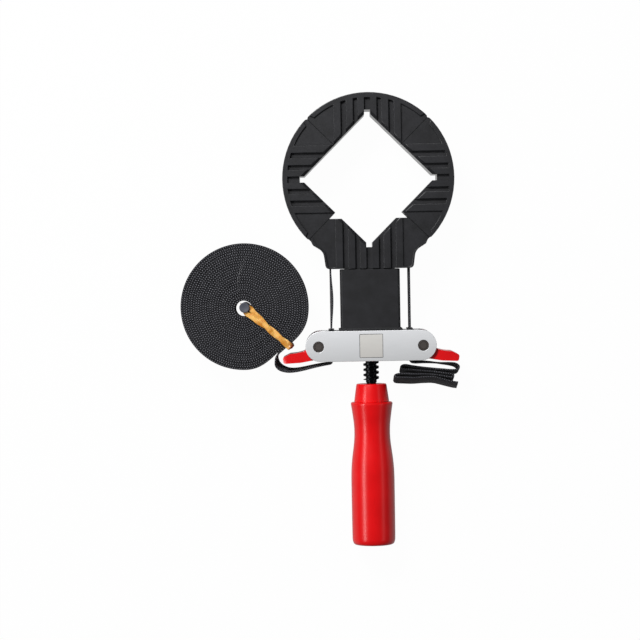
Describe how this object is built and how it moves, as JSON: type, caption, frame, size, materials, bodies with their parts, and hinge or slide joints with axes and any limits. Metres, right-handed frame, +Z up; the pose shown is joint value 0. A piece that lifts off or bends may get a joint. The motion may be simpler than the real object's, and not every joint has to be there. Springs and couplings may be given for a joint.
{
  "type": "band clamp",
  "caption": "Band clamp with a ring of V corners on a strap, a spindle and jaw that tighten it, cam levers that release it, and its spare strap wound in a coil.",
  "frame": {"origin": "on the bench surface, under the spindle, halfway along the tool between the handle's end and the top of the ring", "axes": "+X across the tool to the right lever, +Y along the spindle from the handle to the ring of corners, +Z up from the bench on which the tool lies on its back"},
  "size_m": [0.2119, 0.3458, 0.0332],
  "materials": {
    "cast_aluminium": "satin, fine brushed",
    "nut_metal": "as cast",
    "black_nylon": "satin moulded",
    "block_black": "matte, fine grain",
    "black_webbing": "woven",
    "red_plastic": "satin moulded",
    "red_lacquer": "gloss",
    "black_steel": "black oxide, oiled",
    "grey_steel": "dull",
    "spring_steel": "bright",
    "grey_plastic": "moulded",
    "amber_rubber": "smooth, slightly translucent"
  },
  "bodies": {
    "housing": {"housing": "cast_aluminium", "spindle_nut": "nut_metal", "slot_guide_left": "black_nylon", "slot_guide_right": "black_nylon", "lever_pin_left": "grey_steel", "lever_pin_right": "grey_steel", "lever_spring_left": "spring_steel", "lever_spring_right": "spring_steel", "strap_tail_left": "black_webbing", "strap_tail_right": "black_webbing", "strap_coil": "black_webbing", "band_toggle": "grey_plastic", "coil_rubber_band": "amber_rubber"},
    "jaw": {"pressure_block": "block_black", "clamping_jaw": "black_nylon", "corner_left": "black_nylon", "corner_top": "black_nylon", "corner_right": "black_nylon", "strap_loop": "black_webbing"},
    "spindle": {"spindle": "black_steel", "thrust_washer": "spring_steel", "retaining_ring": "spring_steel", "handle": "red_lacquer"},
    "lever_left": {"release_lever_left": "red_plastic"},
    "lever_right": {"release_lever_right": "red_plastic"}
  },
  "joints": [
    {"name": "jaw_slide", "type": "slide", "parent": "housing", "child": "jaw", "axis": [0, 1, 0], "range_m": [0, 0.0165]},
    {"name": "spindle_turn", "type": "hinge", "parent": "jaw", "child": "spindle", "pos_m": [0, -0.05, 0.0166], "axis": [0, 1, 0], "range_deg": [0, 1485.1]},
    {"name": "lever_left_swing", "type": "hinge", "parent": "housing", "child": "lever_left", "pos_m": [-0.0399, -0.0201, 0.0166], "axis": [0, 0, -1], "range_deg": [0, 8], "stiffness_Nm_per_rad": 0.25, "springref_deg": -22.92},
    {"name": "lever_right_swing", "type": "hinge", "parent": "housing", "child": "lever_right", "pos_m": [0.0399, -0.0201, 0.0166], "axis": [0, 0, 1], "range_deg": [0, 8], "stiffness_Nm_per_rad": 0.25, "springref_deg": -22.92}
  ],
  "couplings": [
    {"joint": "spindle_turn", "follows": "jaw_slide", "rad_per_m": 1570.8}
  ]
}
